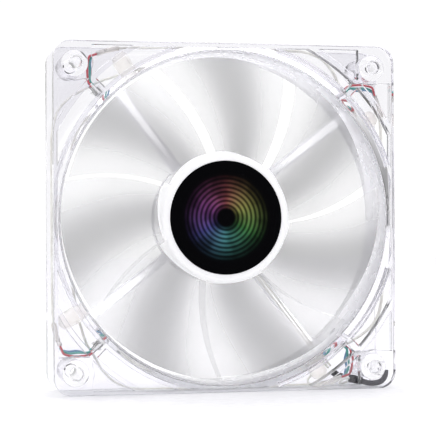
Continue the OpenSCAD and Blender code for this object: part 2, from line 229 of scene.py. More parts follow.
def painted_strut_glow(tree, radius, angle, height):
    """A strut's painted glow: a band along its middle, which narrows and fades on its way to the hub."""
    from_strut = compute(tree, "MODULO", compute(tree, "ADD", angle, 720 + 45 - STRUT_AT), 90)
    from_middle = compute(tree, "ABSOLUTE", compute(tree, "SUBTRACT", from_strut, 45))
    turn = compute(tree, "MULTIPLY", from_middle, math.pi / 180)
    half = remap(tree, radius, HUB_R, DUCT_R, *PAINTED_GLOW_HALF, smooth=False)
    share = compute(tree, "DIVIDE", compute(tree, "MULTIPLY", turn, radius), half)
    along = remap(tree, radius, HUB_R, PAINTED_GLOW_FULL_R, 0.0, 1.0)
    in_duct = compute(tree, "LESS_THAN", radius, DUCT_R)
    in_strut = compute(tree, "LESS_THAN", height, STRUT_TOP)
    inside = compute(tree, "MULTIPLY", in_duct, in_strut)
    painted_glow = compute(tree, "MULTIPLY", remap(tree, share, *PAINTED_GLOW_EDGE, 1.0, 0.0), along)
    return compute(tree, "MULTIPLY", painted_glow, inside)


def clear_plastic():
    """Polished clear moulding. Its bore and struts have a satin finish, and the struts have a painted glow
    along their middles.
    """
    mat, tree, shader = principled("clear_plastic", Base_Color=(0.94, 0.935, 0.962, 1), IOR=1.49)
    radius, angle, height = plan_polar(tree)
    satin = compute(tree, "LESS_THAN", radius, SATIN_R)
    gloss = remap(tree, grain(tree, 90.0), 0.3, 0.7, 0.0, 0.04)
    rough = compute(tree, "ADD", gloss, compute(tree, "MULTIPLY", satin, SATIN_ROUGH))
    feed(tree, rough, shader.inputs["Roughness"])
    feed(tree, remap(tree, satin, 0.0, 1.0, 1.0, SATIN_TRANSMISSION), shader.inputs["Transmission Weight"])
    # Painted glow: the struts give off light though they are no lamp
    shader.inputs["Emission Color"].default_value = (1, 1, 1, 1)
    painted_glow = painted_strut_glow(tree, radius, angle, height)
    feed(tree, compute(tree, "MULTIPLY", painted_glow, STRUT_PAINTED_GLOW), shader.inputs["Emission Strength"])
    relief(tree, shader, grain(tree, 55.0, 1.0), 0.000015)
    lets_lamps_through(mat, (0.93, 0.94, 0.95))
    return mat


# Lobes of painted shade and painted light on the blades, and the hub's painted glow
GAP_AT_HUB = -4.3
LOBE_AT_HUB = 0.76
LOBE_FULL_R = 47.0
HUB_PAINTED_GLOW = 0.12
HUB_MARGIN = 0.6
HUB_WHITE = (0.99, 0.99, 0.99)
PAINTED_BLADE_SHADE = (0.36, 0.36, 0.362)
PAINTED_GAP_LIGHT = (0.86, 0.86, 0.86)
BLADE_ALPHA = (0.46, 0.24)


def milky_plastic():
    """Milky see-through plastic, denser along the middle of each blade than towards the gaps. Its colour
    holds painted shade, grey along each blade's middle, and painted light, white towards the gaps, and the
    hub has a painted glow.
    """
    mat, tree, shader = principled("milky_plastic", IOR=1.46, Transmission_Weight=0.2)
    radius, angle, _ = plan_polar(tree)
    gap = remap(tree, radius, HUB_R, BLADE_R, GAP_AT_HUB, GAP_AT_HUB + SWEEP, smooth=False)
    phase = compute(tree, "MULTIPLY", compute(tree, "SUBTRACT", angle, gap), BLADES * math.pi / 180)
    near_gap = compute(tree, "ADD", compute(tree, "MULTIPLY", compute(tree, "COSINE", phase), 0.5), 0.5)
    strength = remap(tree, radius, HUB_R, LOBE_FULL_R, LOBE_AT_HUB, 1.0, smooth=False)
    near_gap = compute(tree, "MULTIPLY", near_gap, strength)
    on_hub = compute(tree, "LESS_THAN", radius, HUB_R + HUB_MARGIN)
    light = compute(tree, "MAXIMUM", near_gap, on_hub)
    cloud_and_painted_shading = compute(tree, "MULTIPLY", remap(tree, grain(tree, 60.0), 0.3, 0.7, 0.95, 1.0), light)
    # Painted shade greys each blade's middle, painted light whitens it towards the gaps; the grain adds real
    # cloudiness
    blade_colour = mixed(tree, cloud_and_painted_shading, PAINTED_BLADE_SHADE, PAINTED_GAP_LIGHT)
    feed(tree, mixed(tree, on_hub, blade_colour, HUB_WHITE), shader.inputs["Base Color"])
    # Painted glow on the hub, which is no lamp
    shader.inputs["Emission Color"].default_value = (1, 1, 1, 1)
    feed(tree, compute(tree, "MULTIPLY", on_hub, HUB_PAINTED_GLOW), shader.inputs["Emission Strength"])
    thin = remap(tree, near_gap, 0.0, 1.0, *BLADE_ALPHA)
    feed(tree, compute(tree, "MAXIMUM", thin, on_hub), shader.inputs["Alpha"])
    feed(tree, remap(tree, grain(tree, 300.0), 0.3, 0.7, 0.34, 0.46), shader.inputs["Roughness"])
    relief(tree, shader, grain(tree, 120.0, 2.0), 0.00004)
    return mat


RING_PITCH = 1.55
RING_LEVEL = 0.24
RING_FADE_IN = (2.6, 5.5)
RING_FADE_OUT = (6.0, 16.0)
FILM_BLACK = (0.0015, 0.0015, 0.002)


def black_film():
    """Glossy black label with even concentric rings, whose colour runs round the rainbow and fades out."""
    mat, tree, shader = principled("black_film", Specular_IOR_Level=0.02)
    radius, angle, _ = plan_polar(tree)
    hue = compute(tree, "FRACT", compute(tree, "SUBTRACT", 1.25, compute(tree, "DIVIDE", angle, 360.0)))
    colour = add(tree, "ShaderNodeCombineColor", mode="HSV", Green=0.72, Blue=1.0)
    tree.links.new(hue, colour.inputs[0])
    wave = compute(tree, "SINE", compute(tree, "MULTIPLY", radius, 2 * math.pi / RING_PITCH))
    ring = remap(tree, wave, -0.9, 1.0, 0.2, 1.0)
    rise = remap(tree, radius, *RING_FADE_IN, 0.0, 1.0)
    fade = compute(tree, "MULTIPLY", rise, remap(tree, radius, *RING_FADE_OUT, 1.0, 0.0))
    streaks = remap(tree, grain(tree, 130.0, 2.0), 0.35, 0.65, 0.35, 1.0)
    level = compute(tree, "MULTIPLY", compute(tree, "MULTIPLY", ring, fade), streaks)
    level = compute(tree, "MULTIPLY", level, RING_LEVEL)
    feed(tree, mixed(tree, level, FILM_BLACK, colour.outputs[0]), shader.inputs["Base Color"])
    feed(tree, remap(tree, grain(tree, 700.0), 0.3, 0.7, 0.4, 0.5), shader.inputs["Roughness"])
    relief(tree, shader, ring, 0.00001)
    return mat


STICKER_LINE = (17.6, 18.0)


def silver_film():
    """Rear sticker: brushed silver with a thin dark line round its edge."""
    mat, tree, shader = principled("silver_film", Metallic=0.85)
    radius, _, _ = plan_polar(tree)
    brushed = grain(tree, 260.0, 4.0, stretch=(1.0, 1.0, 14.0))
    past_start = compute(tree, "GREATER_THAN", radius, STICKER_LINE[0])
    line = compute(tree, "MULTIPLY", past_start, compute(tree, "LESS_THAN", radius, STICKER_LINE[1]))
    metal = mixed(tree, brushed, (0.62, 0.63, 0.65), (0.84, 0.85, 0.86))
    feed(tree, mixed(tree, line, metal, (0.06, 0.06, 0.07)), shader.inputs["Base Color"])
    feed(tree, remap(tree, brushed, 0.3, 0.7, 0.28, 0.42), shader.inputs["Roughness"])
    relief(tree, shader, brushed, 0.000008)
    return mat


def green_board():
    """Solder mask over copper tracks that run round the board."""
    mat, tree, shader = principled("green_board", Coat_Weight=0.4)
    radius, _, _ = plan_polar(tree)
    wander = compute(tree, "MULTIPLY", grain(tree, 140.0, 0.0), 9.0)
    wave = compute(tree, "SINE", compute(tree, "MULTIPLY", compute(tree, "ADD", radius, wander), 3.4))
    track = remap(tree, wave, 0.1, 0.35, 0.0, 1.0)
    feed(tree, mixed(tree, track, (0.004, 0.06, 0.022), (0.012, 0.14, 0.05)), shader.inputs["Base Color"])
    feed(tree, remap(tree, grain(tree, 900.0), 0.3, 0.7, 0.25, 0.4), shader.inputs["Roughness"])
    relief(tree, shader, track, 0.00003)
    return mat


SHEET_T = 0.5


def electrical_steel():
    """A stack of thin stamped sheets, seen as fine lines round its sides."""
    mat, tree, shader = principled("electrical_steel", Metallic=1.0)
    _, _, height = plan_polar(tree)
    wave = compute(tree, "SINE", compute(tree, "MULTIPLY", height, 2 * math.pi / SHEET_T))
    gap = remap(tree, wave, 0.6, 0.95, 0.0, 1.0)
    stain = grain(tree, 500.0)
    metal = mixed(tree, stain, (0.33, 0.34, 0.36), (0.5, 0.51, 0.53))
    feed(tree, mixed(tree, gap, metal, (0.08, 0.08, 0.085)), shader.inputs["Base Color"])
    feed(tree, remap(tree, stain, 0.3, 0.7, 0.3, 0.5), shader.inputs["Roughness"])
    relief(tree, shader, compute(tree, "SUBTRACT", 1.0, gap), 0.00004)
    return mat


def finish(name, colour, rough, metallic=0.0, scale=500.0, depth=0.000015, shade=0.86, **more):
    """A moulded, cast or drawn surface with a fine grain in its colour, gloss and relief."""
    mat, tree, shader = principled(name, Metallic=metallic, **more)
    fine, broad = grain(tree, scale), grain(tree, scale / 8, 2.0)
    dark, light = tuple(shade * c for c in colour), tuple(min(1.0, 1.08 * c) for c in colour)
    patchy = compute(tree, "MULTIPLY", compute(tree, "ADD", fine, broad), 0.5)
    blend = remap(tree, patchy, 0.35, 0.65, 0.0, 1.0)
    feed(tree, mixed(tree, blend, dark, light), shader.inputs["Base Color"])
    feed(tree, remap(tree, patchy, 0.35, 0.65, 0.8 * rough, 1.2 * rough), shader.inputs["Roughness"])
    relief(tree, shader, fine, depth)
    return mat


def turned_metal(name, colour, rough):
    """Lathe-turned metal: fine rings about the axis."""
    mat, tree, shader = principled(name, Metallic=1.0)
    radius, _, height = plan_polar(tree)
    wave = compute(tree, "SINE", compute(tree, "MULTIPLY", compute(tree, "ADD", radius, height), 40.0))
    stain = grain(tree, 300.0)
    dark = tuple(0.82 * c for c in colour)
    feed(tree, mixed(tree, stain, dark, colour), shader.inputs["Base Color"])
    feed(tree, remap(tree, stain, 0.3, 0.7, 0.8 * rough, 1.25 * rough), shader.inputs["Roughness"])
    relief(tree, shader, wave, 0.000004)
    return mat


PVC = {"IOR": 1.52, "Coat_Weight": 0.15}
MATERIALS = {
    "clear_plastic": clear_plastic(),
    "milky_plastic": milky_plastic(),
    "black_film": black_film(),
    "silver_film": silver_film(),
    "green_board": green_board(),
    "electrical_steel": electrical_steel(),
    "brass": turned_metal("brass", (0.86, 0.66, 0.32), 0.25),
    "sintered_bronze": finish("sintered_bronze", (0.6, 0.38, 0.2), 0.5, 1.0, 3000.0, 0.00003),
    "nylon": finish("nylon", (0.86, 0.85, 0.8), 0.42),
    "yoke_steel": finish("yoke_steel", (0.52, 0.53, 0.55), 0.34, 1.0),
    "ground_steel": turned_metal("ground_steel", (0.76, 0.77, 0.79), 0.14),
    "spring_steel": finish("spring_steel", (0.42, 0.43, 0.46), 0.3, 1.0),
    "tinned_steel": finish("tinned_steel", (0.5, 0.5, 0.5), 0.3, 1.0, 1500.0),
    "bonded_ferrite": finish("bonded_ferrite", (0.05, 0.05, 0.052), 0.6, 0.0, 2500.0, 0.00003),
    "copper_winding": finish("copper_winding", (0.74, 0.27, 0.1), 0.26, 1.0, 900.0, Coat_Weight=0.5),
    "black_resin": finish("black_resin", (0.02, 0.02, 0.022), 0.5, 0.0, 2500.0),
    "tan_ceramic": finish("tan_ceramic", (0.5, 0.36, 0.22), 0.4, 0.0, 2500.0),
    "led_epoxy": finish("led_epoxy", (0.96, 0.96, 0.93), 0.08, 0.0, 200.0, Transmission_Weight=0.9, IOR=1.52),
    "cream_glue": finish(
        "cream_glue", (1.0, 0.91, 0.85), 0.32, 0.0, 350.0, 0.00008,
        Transmission_Weight=0.9, IOR=1.38, Alpha=0.6,
    ),
    "red_insulation": finish("red_insulation", (0.6, 0.1, 0.12), 0.38, **PVC),
    "green_insulation": finish("green_insulation", (0.11, 0.46, 0.41), 0.38, **PVC),
    "blue_insulation": finish("blue_insulation", (0.17, 0.32, 0.52), 0.38, **PVC),
    "cream_insulation": finish("cream_insulation", (0.95, 0.93, 0.87), 0.42, **PVC),
    "pale_sleeve": finish("pale_sleeve", (0.93, 0.9, 0.86), 0.3, Transmission_Weight=0.5, IOR=1.47),
    "black_shrink": finish(
        "black_shrink", (0.01, 0.009, 0.012), 0.42, 0.0, 900.0, 0.00006, Specular_IOR_Level=0.2,
    ),
    "grey_jacket": finish("grey_jacket", (0.035, 0.033, 0.042), 0.45, 0.0, 900.0, 0.00004),
}
for entry in frame["record"]["subparts"]:
    mesh = NODES[entry["node"]].data
    mesh.materials.clear()
    mesh.materials.append(MATERIALS[entry["material_slot"]])


# ---------------------------------------------------------------- shape building blocks


def piece(name, verts, faces, body, slot, stands_for=(), sharp=35.0):
    """A visible piece from plan points and faces; edges sharper than `sharp` degrees stay crisp."""
    mesh = bpy.data.meshes.new(name)
    mesh.from_pydata([at(v) for v in verts], [], faces)
    work = bmesh.new()
    work.from_mesh(mesh)
    bmesh.ops.remove_doubles(work, verts=work.verts, dist=1e-8)
    bmesh.ops.recalc_face_normals(work, faces=work.faces)
    work.to_mesh(mesh)
    work.free()
    obj = bpy.data.objects.new(name, mesh)
    bpy.context.scene.collection.objects.link(obj)
    mesh.materials.append(MATERIALS[slot])
    smooth_out(mesh, sharp)
    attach(obj, body)
    if stands_for:
        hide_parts(*stands_for)
    return obj


def drop_folds(mesh):
    """Splits a mesh into triangles and drops the pairs that lie back to back on the same three points."""
    work = bmesh.new()
    work.from_mesh(mesh)
    bmesh.ops.triangulate(work, faces=work.faces[:])
    sharing = {}
    for face in work.faces:
        sharing.setdefault(frozenset(face.verts), []).append(face)
    folds = [face for faces in sharing.values() if len(faces) > 1 for face in faces]
    bmesh.ops.delete(work, geom=folds, context="FACES")
    work.to_mesh(mesh)
    work.free()


def smooth_out(mesh, sharp):
    mesh.polygons.foreach_set("use_smooth", [True] * len(mesh.polygons))
    mesh.set_sharp_from_angle(angle=math.radians(sharp))


def joined(*parts):
    """Several (verts, faces) pairs as one."""
    verts, faces = [], []
    for part_verts, part_faces in parts:
        faces += [[i + len(verts) for i in face] for face in part_faces]
        verts += part_verts
    return verts, faces


def eased(outline, radius, steps=4):
    """A closed outline of [radius, height] points with its corners rounded, apart from those on the axis."""
    out = []
    for i, corner in enumerate(outline):
        p, before, after = Vector(corner), Vector(outline[i - 1]), Vector(outline[(i + 1) % len(outline)])
        if p.x == 0:
            out.append(tuple(p))
            continue
        to_before, to_after = before - p, after - p
        cut = min(radius, 0.45 * to_before.length, 0.45 * to_after.length)
        start, end = p + to_before.normalized() * cut, p + to_after.normalized() * cut
        for k in range(steps + 1):
            t = k / steps
            out.append(tuple(start * (1 - t) ** 2 + p * 2 * t * (1 - t) + end * t**2))
    return out


def lathe(outline, steps=96):
    """A solid turned about Z from a closed outline of [radius, height] points."""
    verts, faces, rings = [], [], []
    for r, z in outline:
        if r == 0:
            rings.append([len(verts)] * steps)
            verts.append((0.0, 0.0, z))
        else:
            rings.append(range(len(verts), len(verts) + steps))
            verts += [polar(r, 360 * k / steps, z) for k in range(steps)]
    for near, far in zip(rings, rings[1:] + rings[:1]):
        for a in range(steps):
            b = (a + 1) % steps
            face = list(dict.fromkeys((near[a], near[b], far[b], far[a])))
            if len(face) > 2:
                faces.append(face)
    return verts, faces


def smooth(points, steps):
    """A smooth curve through points, with that many steps between neighbours."""
    p = [Vector(q) for q in points]
    out = []
    for i in range(len(p) - 1):
        a, b, c, d = p[max(i - 1, 0)], p[i], p[i + 1], p[min(i + 2, len(p) - 1)]
        for k in range(steps):
            t = k / steps
            bend = (2 * a - 5 * b + 4 * c - d) * t**2
            twist = (3 * b - 3 * c + d - a) * t**3
            out.append(0.5 * (2 * b + (c - a) * t + bend + twist))
    return out + [p[-1]]


# A tube's end ring is narrower, and its last full ring is set in. A mouth is (share of radius, depth) pairs.
END_SHARE = 0.88
OPEN_END_SHARE = 0.97
END_SET_IN = 0.06
MOUTH = ((0.78, 0.5), (0.8, 0.0))


def swept(points, radius, sides=14, open_ends=False):
    """A round tube along points. radius is a number or a function of (share of the length, angle).
    open_ends sinks a mouth into each end."""
    last = len(points) - 1
    along = [(points[min(i + 1, last)] - points[max(i - 1, 0)]).normalized() for i in range(last + 1)]
    across = along[0].orthogonal().normalized()
    verts, faces = [], []

    def ring(i, scale=1.0, shift=0.0):
        up = along[i].cross(across)
        for k in range(sides):
            a = 2 * math.pi * k / sides
            r = scale * (radius(i / last, a) if callable(radius) else radius)
            verts.append(tuple(points[i] + along[i] * shift + r * (math.cos(a) * across + math.sin(a) * up)))

    mouth = MOUTH if open_ends else ()
    rim = OPEN_END_SHARE if open_ends else END_SHARE
    for scale, shift in mouth:
        ring(0, scale, shift)
    ring(0, rim)
    for i in range(last + 1):
        across = (across - along[i] * across.dot(along[i])).normalized()
        shift = END_SET_IN if i == 0 else -END_SET_IN if i == last else 0.0
        ring(i, 1.0, shift)
    ring(last, rim)
    for scale, shift in reversed(mouth):
        ring(last, scale, -shift)
    rows = len(verts) // sides
    for i in range(rows - 1):
        for k in range(sides):
            j = (k + 1) % sides
            faces.append((i * sides + k, i * sides + j, (i + 1) * sides + j, (i + 1) * sides + k))
    faces.append(tuple(range(sides)))
    faces.append(tuple((rows - 1) * sides + k for k in range(sides)))
    return verts, faces


def squareness(c, s, power):
    """How much further out a rounded square runs than the circle, in the direction (c, s)."""
    return (abs(c) ** power + abs(s) ** power) ** (-1 / power)


def lump(p, size, scale):
    """Smooth noise at plan point p, from about -size to size, with bumps about scale millimetres wide."""
    return size * noise.noise(Vector(p) / scale)


# ---------------------------------------------------------------- impeller

BLADE_AT = 21.4
HUB_EDGE = 1.2
HUB_EASE = 0.12
HUB_STEPS = 160
HUB_BORE_R = 20.95
HUB_CEILING = 19.65
HUB_BOSS = (5.0, 16.4)
INSERT_R = 3.02
LABEL_SEAT_R = LABEL_R + 0.1
LABEL_SEAT_Z = HUB_FRONT - 0.4
BLADE_ROOT_R = HUB_R - 0.7
SPAN = 50.4
BLADE_REAR = 6.5
BLADE_FRONT = 20.4
BLADE_T = 1.5
CAMBER = 1.3
EDGE_ROUND = 0.4
ROOT_FILLET = 0.8
IMPELLER_SHARP = 38.0


def camber_point(r, s):
    """The camber line at radius r, unrolled flat; s runs from 0, the trailing edge, to 1, the leading one."""
    share = (r - HUB_R) / (BLADE_R - HUB_R)
    return Vector((
        math.radians(SWEEP * share + SPAN * (s - 0.5)) * r,
        BLADE_REAR + (BLADE_FRONT - BLADE_REAR) * s + CAMBER * 4 * s * (1 - s),
    ))


def rounding(distance):
    """How much of its thickness a blade has at that distance from a round edge."""
    inside = min(distance / EDGE_ROUND, 1.0)
    return math.sqrt(max(0.0, 1 - (1 - inside) ** 2))


def skin_point(r, s, side):
    p = camber_point(r, s)
    slope = camber_point(r, s + 0.01) - camber_point(r, s - 0.01)
    normal = Vector((-slope.y, slope.x)).normalized()
    chord = (camber_point(r, 1) - camber_point(r, 0)).length
    half = BLADE_T / 2 * (0.5 + 2 * s * (1 - s))
    away = r - HUB_R
    if away < ROOT_FILLET:
        reach = ROOT_FILLET - max(away, 0.0)
        half += ROOT_FILLET - math.sqrt(ROOT_FILLET**2 - reach**2)
    half *= rounding(min(s, 1 - s) * chord) * rounding(BLADE_R - r)
    p += side * half * normal
    return polar(r, math.degrees(p.x / r), p.y)


def blade(k):
    chord = (camber_point(40, 1) - camber_point(40, 0)).length
    edge = [EDGE_ROUND / chord * t for t in (0.0, 0.04, 0.16, 0.4, 0.7, 1.0)]
    middle = [edge[-1] + (1 - 2 * edge[-1]) * i / 22 for i in range(1, 22)]
    stops = edge + middle + [1 - t for t in reversed(edge)]
    radii = [BLADE_ROOT_R, 22.1, 22.4, 22.45, 22.55, 22.7, 22.9, 23.2, 24.2]
    radii += [25.5 + 2 * i for i in range(15)] + [55.0, 55.8, 55.92, 56.04, 56.12, 56.18, BLADE_R]
    verts, faces = [], []
    for r in radii:
        section = [(s, 1) for s in stops] + [(s, -1) for s in reversed(stops[1:-1])]
        verts += [turned(skin_point(r, s, side), BLADE_AT + 360 / BLADES * k) for s, side in section]
    loop = 2 * len(stops) - 2
    for i in range(len(radii) - 1):
        for a in range(loop):
            b = (a + 1) % loop
            faces.append((i * loop + a, i * loop + b, (i + 1) * loop + b, (i + 1) * loop + a))
    faces.append((0, 1, loop - 1))
    faces += [(j, j + 1, loop - j - 1, loop - j) for j in range(1, len(stops) - 2)]
    faces.append((len(stops) - 2, len(stops) - 1, len(stops)))
    return verts, faces


def impeller():
    boss_r, boss_z = HUB_BOSS
    outline = (
        [(HUB_R, HUB_REAR)]
        + [
            (HUB_R - HUB_EDGE * (1 - math.cos(t)), HUB_FRONT - HUB_EDGE * (1 - math.sin(t)))
            for t in (math.pi / 2 * i / 8 for i in range(9))
        ]
        + [(LABEL_SEAT_R, HUB_FRONT), (LABEL_SEAT_R, LABEL_SEAT_Z), (0, LABEL_SEAT_Z), (0, HUB_CEILING)]
        + [(INSERT_R, HUB_CEILING), (INSERT_R, boss_z), (boss_r, boss_z), (boss_r, HUB_CEILING)]
        + [(HUB_BORE_R, HUB_CEILING), (HUB_BORE_R, HUB_REAR)]
    )
    turned_hub = lathe(eased(outline, HUB_EASE, 2), HUB_STEPS)
    hub = piece("impeller_moulding", *turned_hub, "rotor", "milky_plastic", ["impeller"])
    ring = piece("blade_ring", *joined(*[blade(k) for k in range(BLADES)]), "rotor", "milky_plastic")
    union = hub.modifiers.new("union", "BOOLEAN")
    union.operation = "UNION"
    union.solver = "EXACT"
    union.object = ring
    hub.modifiers.new("clean", "WELD").merge_threshold = SLIVER
    whole = bpy.data.meshes.new_from_object(hub.evaluated_get(bpy.context.evaluated_depsgraph_get()))
    hub.modifiers.clear()
    hub.data = whole
    drop_folds(whole)
    smooth_out(whole, IMPELLER_SHARP)
    bpy.data.objects.remove(ring)


impeller()


# ---------------------------------------------------------------- lights in the corners

LED_TIP = 57.6
LED_BASE = 62.9
LED_R = 1.5
LED_RIM_R = 1.9
LED_RIM_FROM = 62.0
LEG_SPREAD = 0.7
LEG_R = 0.23
LEG_RUN = (60.4, 61.5, 63.0, 64.8)
GLUE_AT = 32.8
GLUE_FROM = 58.8
GLUE_TO = 67.8
GLUE_HALF = (3.0, 3.2)
GLUE_SQUARE = 3.2
GLUE_ROWS = 18
GLUE_SIDES = 36


def on_spoke(points, angle, k):
    """Points [across, up, radius] about a radial axis of the first corner, moved to corner k."""
    return [turned((radius, across, LED_Z + up), angle + 90 * (k - 1)) for across, up, radius in points]


def led(k):
    """A 3 mm epoxy LED with its rim and its four legs."""
    dome = []
    for i in range(1, 9):
        t = math.pi / 2 * i / 8
        dome.append((LED_R * math.sin(t), LED_TIP + LED_R * (1 - math.cos(t))))
    rim = [(LED_R, LED_RIM_FROM), (LED_RIM_R, LED_RIM_FROM), (LED_RIM_R, LED_BASE)]
    outline = [(0, LED_BASE), (0, LED_TIP)] + dome + rim
    verts, faces = lathe(outline, 32)
    piece(f"led_lamp_{k}", on_spoke(verts, LED_AT, k), faces, "housing", "led_epoxy", [f"led_{k}"])
    legs = []
    for a in range(0, 360, 90):
        x, y = LEG_SPREAD * math.cos(math.radians(a)), LEG_SPREAD * math.sin(math.radians(a))
        legs.append(swept([Vector((x, y, z)) for z in LEG_RUN], LEG_R, 8))
    verts, faces = joined(*legs)
    piece(f"led_legs_{k}", on_spoke(verts, LED_AT, k), faces, "housing", "tinned_steel")


def glue(k):
    """A dab of hot glue that has slumped against the duct's outer wall."""
    rows, sides = GLUE_ROWS, GLUE_SIDES
    verts, faces = [], []
    for i in range(rows + 1):
        t = i / rows
        depth = GLUE_FROM + (GLUE_TO - GLUE_FROM) * t
        end = 0.88 + 0.75 * t if t < 0.16 else math.sqrt(max(0.0, 1 - (max(t - 0.72, 0) / 0.285) ** 2))
        for j in range(sides):
            a = 2 * math.pi * j / sides
            c, s = math.cos(a), math.sin(a)
            stretch = squareness(c, s, GLUE_SQUARE)
            x, y = GLUE_HALF[0] * c * stretch, GLUE_HALF[1] * s * stretch
            broad = lump((x + 17 * k, y, depth), 0.075, 2.2)
            fine = lump((x, y + 9 * k, depth), 0.03, 0.8)
            scale = end * (0.95 + broad + fine)
            verts.append((x * scale, y * scale, depth))
    for i in range(rows):
        for j in range(sides):
            n = (j + 1) % sides
            faces.append((i * sides + j, i * sides + n, (i + 1) * sides + n, (i + 1) * sides + j))
    faces.append(tuple(range(sides)))
    faces.append(tuple(rows * sides + j for j in range(sides)))
    verts = on_spoke(verts, GLUE_AT, k)
    dab = piece(f"hot_glue_{k}", verts, faces, "housing", "cream_glue", [f"glue_dab_{k}"], 180)
    dab.modifiers.new("round", "SUBSURF").render_levels = 1


for k in CORNERS:
    led(k)
    glue(k)


# ---------------------------------------------------------------- wires

SLEEVE_R = 0.9


def at_led(along, across, z):
    """A plan point of the first corner, along and across the LED's axis."""
    return turned((along, across, z), LED_AT)


def into_sleeve(z, gathered_z):
    """A coloured wire's last points, which run into the pale sleeve's mouth."""
    return [polar(72.08, 38.82, z), polar(71.71, 37.87, gathered_z), polar(71.5, 37.2, gathered_z)]


CORNER_WIRES = {
    "red": [
        at_led(64.2, 0, 13.2), at_led(66.2, 0, 13.6), polar(69, 43.2, 14), polar(71.2, 41.4, 14),
        polar(72.4, 39.9, 13.6), *into_sleeve(13.3, 12.9),
    ],
    "green": [
        at_led(64.2, -0.7, 12.5), at_led(66, -0.85, 12.45), polar(68.6, 42.3, 12.4),
        polar(70.9, 40.8, 12.3), *into_sleeve(12.3, 12.4),
    ],
    "blue": [
        at_led(64.2, 0, 11.8), at_led(66, -0.3, 11.3), polar(68.2, 42, 10.8), polar(70.4, 40.6, 10.9),
        *into_sleeve(11.3, 12.1),
    ],
}
SLEEVE_ROUTE = [
    polar(71.6, 37.6, LED_Z), polar(70.9, 35.6, LED_Z), polar(70, 33.5, LED_Z), polar(69.05, 31.4, LED_Z),
]
HARNESS_RUN = [
    (58.94, 35.9), (59.2, 30), (59.35, 20), (59.35, 0), (59.3, -20), (59, -30), (57, -37),
    (52.5, -41.8), (48, -44.4), (44.2, -46.6), (40.8, -48.1), (37.9, -49), (35.85, -49.72),
]
HARNESS_DROP = (0, 0, 0, 0, 0, 0, 1, 2, 3.2, 3.4, 2.9, 2.3, 1.9)
HARNESS_Z = (12, 13.05)
LEAD_STRUT_AT = 307.5
LEAD_SIDE = 0.56
LEAD_POINTS = [(16, 2.86), (22, 2.86), (50, 2.86), (56.5, 3), (59.5, 4), (62.5, 5.3), (65, 6.2), (67.6, 7)]
SPLICE_ROUTES = [
    [(41.6, -55.2, 7.4), (43.6, -56.4, 7.8), (45.2, -57, 8.4)],
    [(45.6, -57, 15.6), (47.6, -57.4, 15.9), (49.8, -58, 16)],
]
SPLICE_R = (1.3, 1.6)
JACKET_R = 1.0
JACKET_ROUTE = [
    (49.9, -58, 16), (52.5, -58.7, 16), (55.2, -58.7, 16),
    (57.3, -58, 16), (58.5, -56.4, 16), (58.8, -54.2, 16),
]
SUPPLY_ROUTES = [
    [
        (45.4, -56.9, 16.4), (42, -57.2, 17.2), (37.5, -58.8, 17.6), (33.4, -59.3, 17.3),
        (30.9, -58.6, 16), (30.9, -57.2, 14.6), (32.1, -56.05, 13.6),
    ],
    [
        (45.4, -56.7, 14.9), (44.2, -57.1, 14.8), (43, -58.5, 13.6), (43.2, -59.1, 11.8),
        (44.8, -59.2, 10.2), (46.8, -58.8, 9.2), (47.2, -57.9, 8.6), (46.2, -57.3, 8.45),
        (45.4, -57.05, 8.4),
    ],
]


def wire(name, routes, radius, slot, node, steps=7, sides=14, open_ends=False):
    tubes = [swept(smooth(route, steps), radius, sides, open_ends) for route in routes]
    piece(name, *joined(*tubes), "housing", slot, [node], 50)


def shrunk(radius, seed, folds=0.05):
    """Heat-shrunk tubing's radius: slightly lumpy, with soft folds along it."""
    def at_share(t, a):
        spot = Vector((4 * t, math.cos(a), math.sin(a) + 5 * seed))
        return radius * (1 - folds + folds * noise.noise(spot))
    return at_share


for k in CORNERS:
    turn = 90 * (k - 1)
    for colour, route in CORNER_WIRES.items():
        route = [turned(p, turn) for p in route]
        wire(f"{colour}_lead_{k}", [route], WIRE_R, f"{colour}_insulation", f"{colour}_wire_{k}")
    sleeve = [turned(p, turn) for p in SLEEVE_ROUTE]
    wire(f"pale_tube_{k}", [sleeve], shrunk(SLEEVE_R, k), "pale_sleeve", f"lead_sleeve_{k}", 9, 22, True)
    pair = [
        [turned((*xy, z - drop), turn) for xy, drop in zip(HARNESS_RUN, HARNESS_DROP)] for z in HARNESS_Z
    ]
    wire(f"side_wires_{k}", pair, WIRE_R, "cream_insulation", f"harness_{k}")

leads = [[turned((r, side, z), LEAD_STRUT_AT) for r, z in LEAD_POINTS] for side in (-LEAD_SIDE, LEAD_SIDE)]
wire("motor_wires", leads, WIRE_R, "cream_insulation", "motor_leads")
wire("supply_pair", SUPPLY_ROUTES, WIRE_R, "cream_insulation", "supply_wires")
for i, (route, radius) in enumerate(zip(SPLICE_ROUTES, SPLICE_R), start=1):
    tube = shrunk(radius, i, 0.08)
    wire(f"shrink_tube_{i}", [route], tube, "black_shrink", f"splice_sleeve_{i}", 12, 24, True)
wire("cable_jacket", [JACKET_ROUTE], JACKET_R, "grey_jacket", "lead_jacket", 9, 20, True)


# ---------------------------------------------------------------- motor

COIL_IN = 8.6
COIL_OUT = 14.1
STATOR_Z = 11.0
COIL_CORE = (2.22, 3.32)
STRAND_R = 0.17
LAYER_T = 1.7
COIL_SQUARE = 6
COIL_BULGE = 0.025
STRAND_SHARE = 0.98
TURN_STEPS = 28
STRAND_SIDES = 6
FILL_INSET = 0.05
FILL_SHORT = 0.1


def coil_filling(w, h):
    """The inside of a coil: a square sleeve round the tooth, w and h from its middle to its outer walls."""
    inner_w, inner_h = COIL_CORE
    verts, faces = [], []
    for x in (COIL_IN + FILL_SHORT, COIL_OUT - FILL_SHORT):
        verts += [(x, a * w, STATOR_Z + b * h) for a, b in SQUARE]
        verts += [(x, a * inner_w, STATOR_Z + b * inner_h) for a, b in SQUARE]
    for i in range(4):
        j = (i + 1) % 4
        faces.append((i, j, 8 + j, 8 + i))
        faces.append((4 + i, 12 + i, 12 + j, 4 + j))
        faces.append((i, 4 + i, 4 + j, j))
        faces.append((8 + i, 8 + j, 12 + j, 12 + i))
    return verts, faces


